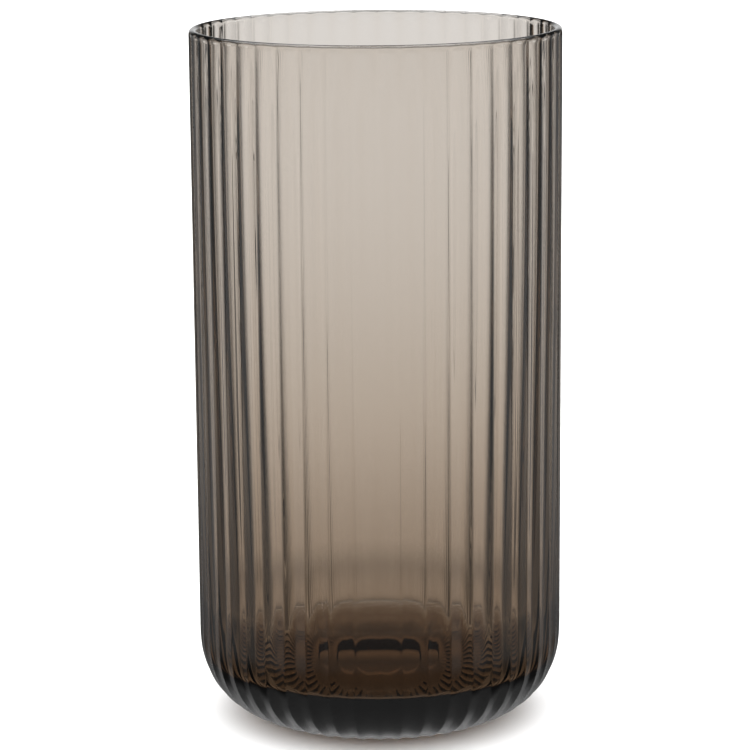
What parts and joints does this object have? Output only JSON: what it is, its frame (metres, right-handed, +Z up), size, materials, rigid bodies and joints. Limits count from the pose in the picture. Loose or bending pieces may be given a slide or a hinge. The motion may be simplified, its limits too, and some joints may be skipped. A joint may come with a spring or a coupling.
{
  "type": "vase",
  "caption": "Tall cylindrical vase of smoke-tinted glass with upright flutes pressed into its outside, a rounded heel, a thick floor and a fire-polished rim.",
  "frame": {"origin": "centre of the foot, on the surface the vase stands on", "axes": "+Z up along the vase's axis, towards the mouth; a rib's crest faces +X, -X, +Y and -Y"},
  "size_m": [0.132, 0.132, 0.25],
  "materials": {
    "smoke_glass": "clear smoke brown-grey glass, fire-polished, tinted through its thickness"
  },
  "bodies": {
    "root": {"vase_body": "smoke_glass"}
  },
  "joints": []
}
